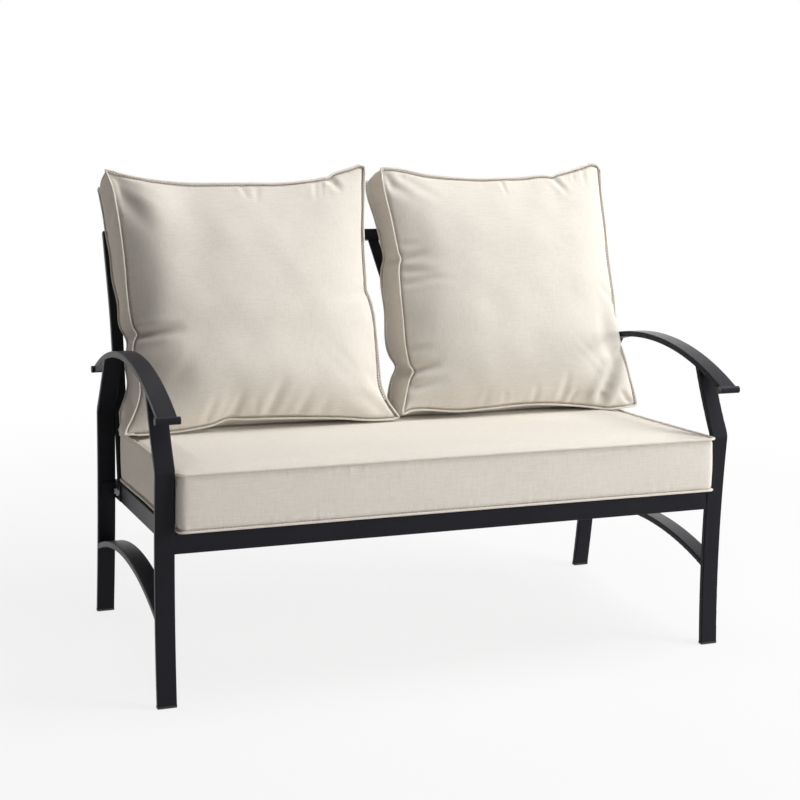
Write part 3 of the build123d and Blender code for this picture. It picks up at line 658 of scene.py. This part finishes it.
seat_cushion.data.materials.append(seat_linen_painted_lighter.material)
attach(seat_cushion, "seat_cushion")
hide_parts("seat_cushion_cover", "seat_cushion_core")
seat_cords = (("top", 0.0027, 0.95), ("bottom", 0.0024, 0.6))
for (seam_name, cord_radius, stand), seam in zip(seat_cords, seat_seams):
    out = normals_of(seat_cushion.data)[seam]
    welt(f"seat_welt_{seam_name}", co[seam], out, cord_radius, stand, seat_linen_painted_lighter, "seat_cushion")

# Back cushions: two fibre-filled pillows with boxed sides, welted front and rear. They are plump in the
# middle, drawn in along their sides and pulled out into ears at the corners, and they slump a little.
lean = math.radians(18.8)
back_up = np.array([0, math.sin(lean), math.cos(lean)])
back_front = np.array([0, -math.cos(lean), math.sin(lean)])
back_boxing = 113.0
back_crowns, back_steeps, back_bulge, back_stitches = (50, 18), (4.6, 7, 5.4, 6.5), 3, (92, 92, 18)
foot_y, foot_z = 51.4, 448.5
back_cord_radius, back_cord_stand = 0.0024, 0.6
back_place = np.stack([np.array([1.0, 0, 0]), back_up, back_front])
# Each panel's sides run through its pattern marks, in millimetres from the middle of the pillow's foot
pillows = {
    "left": {
        "centre": -292,
        "slump": (0.52, 0.24),
        "face": {
            "top": [
                (-301, 566), (-273, 555), (-227, 544), (-149, 534), (-21, 532), (99, 533), (156, 539),
                (184, 544), (195, 545), (205, 553), (220, 558), (249, 566), (272, 573), (281, 570),
            ],
            "right": [
                (308, 3), (281, 46), (272, 75), (271, 127), (271, 181), (269, 246), (265, 270),
                (259, 286), (259, 323), (263, 416), (275, 520), (281, 570),
            ],
            "bottom": [
                (-304, 0), (-203, 2), (-156, 6), (-108, 14), (-86, 22), (-44, 21), (96, 16), (173, 11),
                (251, 3), (308, 3),
            ],
            "left": [
                (-304, 0), (-281, 38), (-271, 58), (-262, 88), (-265, 137), (-270, 183), (-265, 200),
                (-259, 210), (-266, 222), (-270, 242), (-273, 284), (-274, 372), (-281, 481), (-287, 528),
                (-301, 566),
            ],
        },
        "rear left": [
            (-298, 30), (-280, 70), (-262, 120), (-264, 170), (-256, 214), (-270, 250), (-270, 295),
            (-278, 354), (-279, 407), (-284, 453), (-287, 496), (-291, 531), (-294, 556),
        ],
    },
    "right": {
        "centre": 292,
        "slump": (0.42, 0.08),
        "face": {
            "top": [
                (-265, 568), (-221, 564), (-162, 552), (-59, 542), (78, 544), (147, 548), (160, 546),
                (171, 551), (199, 558), (237, 568), (272, 577), (284, 573), (288, 565),
            ],
            "right": [
                (316, 1), (313, 31), (306, 67), (300, 105), (292, 137), (286, 160), (285, 199),
                (287, 256), (286, 283), (284, 362), (285, 441), (284, 521), (288, 565),
            ],
            "bottom": [
                (-269, 10), (-250, 18), (-218, 20), (-189, 17), (-133, 12), (-63, 14), (39, 18),
                (129, 13), (185, 6), (242, -2), (316, 1),
            ],
            "left": [
                (-269, 10), (-255, 53), (-246, 80), (-239, 94), (-232, 104), (-240, 118), (-244, 144),
                (-245, 239), (-245, 303), (-243, 338), (-240, 350), (-236, 358), (-240, 370), (-244, 399),
                (-250, 451), (-260, 515), (-265, 568),
            ],
        },
        "rear left": [
            (-252, 34), (-254, 56), (-242, 104), (-228, 133), (-241, 160), (-242, 268), (-244, 335),
            (-240, 362), (-233, 381), (-236, 424), (-246, 483), (-258, 537), (-259, 568),
        ],
    },
}
# The rear panel is the face's outline, lifted off the seat along its foot
rear_foot, foot_lift, foot_reach, top_drop, top_line = 24, 23, 120, 6, 560
for side, pillow in pillows.items():
    rear = {key: [list(p) for p in marks] for key, marks in pillow["face"].items()}
    for key, marks in rear.items():
        for p in marks:
            lift = foot_lift * max(0, 1 - p[1] / foot_reach)
            drop = top_drop * max(0, p[1] / top_line - 0.5)
            p[1] = rear_foot if key == "bottom" else p[1] + lift - drop
    rear["left"] = pillow["rear left"]
    rear["bottom"][0] = rear["left"][0]
    rear["top"][0] = rear["left"][-1]
    rear["right"][0] = rear["bottom"][-1]
    pillow["object"], pillow["seams"] = sew_cushion(
        f"back_cushion_{side}",
        pillow["face"],
        rear,
        back_boxing,
        back_crowns,
        back_steeps,
        pillow["slump"],
        back_bulge,
        back_stitches,
    )
    pillow["origin"] = np.array([pillow["centre"], foot_y, foot_z])
    local = points_of(pillow["object"].data)
    placed = (local @ back_place + pillow["origin"]) / 1000
    pillow["object"].data.vertices.foreach_set("co", placed.ravel())
    pillow["object"].data.update()
stuff([p["object"] for p in pillows.values()], pressure=4.0, furthest=0.022)
back_linen = linen("back linen", math.degrees(lean), 1.0)
# Each fold: the cloth it lies on, its line in from the seam, how wide and how deep it is, in millimetres
pillow_folds = {
    "left": [
        ("face", [(-297, 552), (-205, 410)], 17, 6), ("face", [(-212, 500), (-200, 60)], 48, -8),
        ("face", [(-140, 122), (240, 112)], 42, -5),
        ("face", [(-285, 556), (-230, 512), (-170, 480)], 10, 2.2),
        ("face", [(196, 543), (222, 508)], 8, 4.5), ("face", [(-8, 528), (4, 492)], 6, 1.6),
        ("face", [(28, 528), (20, 484)], 6, 1.3), ("face", [(164, 536), (155, 488)], 6, 2.2),
        ("face", [(175, 532), (169, 492)], 5, 1.6), ("face", [(-262, 208), (-160, 214)], 11, 8),
        ("face", [(-266, 176), (-205, 190)], 9, 3), ("face", [(-266, 130), (-220, 140)], 9, 2.5),
        ("face", [(-129, 18), (-106, 78)], 9, 2.2), ("face", [(-72, 22), (-48, 84)], 9, 2.6),
        ("face", [(4, 20), (44, 112)], 11, 3.4), ("face", [(74, 18), (104, 80)], 10, 2.4),
        ("face", [(-20, 20), (-22, 66)], 7, 1.5), ("face", [(122, 16), (148, 60)], 10, 2),
        ("face", [(259, 290), (175, 262)], 11, 3.4), ("face", [(272, 70), (210, 124)], 13, 2),
        ("face", [(262, 26), (185, 68)], 13, 2.6), ("left", [(2, 210), (-118, 216)], 9, 6),
        ("left", [(-10, 50), (-100, 110)], 12, 4), ("left", [(-20, 490), (-110, 440)], 16, 3),
    ],
    "right": [
        ("face", [(-265, 560), (-240, 525), (-196, 500)], 12, 6.5),
        ("face", [(-225, 550), (-120, 482)], 11, 2.8), ("face", [(-238, 357), (-180, 372)], 9, 4),
        ("face", [(-242, 332), (-160, 322)], 9, 3.6),
        ("face", [(-244, 300), (-190, 308), (-120, 304)], 8, 2.6),
        ("face", [(-243, 390), (-190, 388)], 8, 2.4), ("face", [(-246, 150), (-190, 156)], 7, 3.2),
        ("face", [(-233, 104), (-178, 116)], 10, 5.5), ("face", [(-250, 68), (-160, 80)], 11, 6),
        ("face", [(24, 540), (33, 494)], 5, 1.8), ("face", [(160, 546), (190, 498)], 7, 4.4),
        ("face", [(213, 560), (212, 530)], 4, 1.4), ("face", [(240, 562), (237, 515)], 6, 1.4),
        ("face", [(287, 248), (262, 262), (228, 290)], 9, 3.6), ("face", [(224, 30), (289, 146)], 14, 13),
        ("face", [(214, 16), (120, 22)], 13, 5), ("face", [(308, 0), (262, 44)], 7, 5.5),
        ("face", [(270, 144), (266, 262)], 17, -12), ("face", [(50, 18), (54, 66)], 8, 2),
        ("face", [(116, 12), (132, 92)], 9, 2.6), ("face", [(140, 12), (158, 54)], 7, 1.8),
        ("face", [(-76, 14), (-66, 58)], 8, 1.6), ("face", [(-22, 14), (-28, 54)], 7, 1.5),
        ("left", [(2, 356), (-118, 381)], 7, 4.5), ("left", [(2, 104), (-60, 112), (-118, 132)], 10, 7),
        ("left", [(-12, 520), (-90, 564)], 14, 3),
    ],
}
# The room that the frame leaves: the bars behind, the post and the arm beside, in metres
back_depth, back_half_width = 0.138, 0.5755
arm_under, arm_over, arm_slope = 0.60, 0.645, 0.8
post_front, post_ease = 0.125, 0.02
near_seat, seat_gap = 0.165, 0.0005
underside_from, underside_ease, underside_turn = 22, 50, 1.6
for side, pillow in pillows.items():
    cushion, seams = pillow["object"], pillow["seams"]
    finer(cushion)
    co = points_of(cushion.data)
    at = (co * 1000 - pillow["origin"]) @ back_place.T
    seed = {"left": 11, "right": 29}[side]
    outward = normals_of(cushion.data)
    co, near = dress(co, outward, at, seams, pillow_folds[side], seed, pucker=0.3, lump=0.8)
    paint_seam_shade(cushion.data, near, at[:, 2], back_boxing)
    reach = (co * 1000 - pillow["origin"]) @ back_front
    co += np.outer(np.clip(reach, -back_depth * 1000, None) - reach, back_front) / 1000
    height = (co - seat_front_rail) @ seat_up
    low = np.nonzero(height < near_seat)[0]
    under = [seat_top.find((co[i][0], (co[i] - seat_front_rail) @ seat_back, 0))[1] for i in low]
    lies = seat_height[under] + seat_gap
    inward = np.clip((-at[low, 2] - underside_from) / underside_ease, 0, 1)
    downward = np.clip(-underside_turn * (outward[low] @ back_up), 0, 1)
    settled = height[low] + (lies - height[low]) * (inward * downward)
    co[low] += np.outer(np.maximum(settled, lies) - height[low], seat_up)
    below_arm = np.clip(arm_under - co[:, 2], 0, None) * arm_slope
    before_post = np.clip((post_front - co[:, 1]) / post_ease, 0, 1)
    free = below_arm * before_post + (co[:, 2] > arm_over)
    over = np.clip(np.abs(co[:, 0]) - back_half_width - free, 0, None)
    co[:, 0] -= np.sign(co[:, 0]) * over
    cushion.data.vertices.foreach_set("co", co.ravel())
    cushion.data.update()
    cushion.data.materials.append(back_linen.material)
    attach(cushion, f"back_cushion_{side}")
    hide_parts(f"back_cushion_cover_{side}", f"back_cushion_core_{side}")
    for seam_name, seam in zip(("front", "rear"), seams):
        out = normals_of(cushion.data)[seam]
        cord_name, body = f"back_welt_{seam_name}_{side}", f"back_cushion_{side}"
        welt(cord_name, co[seam], out, back_cord_radius, back_cord_stand, back_linen, body)

# Zips: a nylon coil on a woven cotton tape, sewn into the boxing on the cushions' hidden sides, so that
# each cover comes off its core for the wash.
tape_dark = (0.46, 0.41, 0.34)
tape_light = (0.60, 0.55, 0.47)
zip_weave = Finish("zip tape")
ribs = zip_weave.node(
    "ShaderNodeTexWave", {"bands_direction": "X"}, {"Vector": zip_weave.place(), "Scale": 300.0}
)
zip_weave.surface(
    Base_Color=zip_weave.blend(ribs, tape_dark, tape_light),
    Roughness=0.8,
    Normal=zip_weave.bump(ribs, 0.0004, 0.6),
)
for name in ("seat_cushion_zip", "back_cushion_zip_left", "back_cushion_zip_right"):
    nodes[name].data.materials.clear()
    nodes[name].data.materials.append(zip_weave.material)
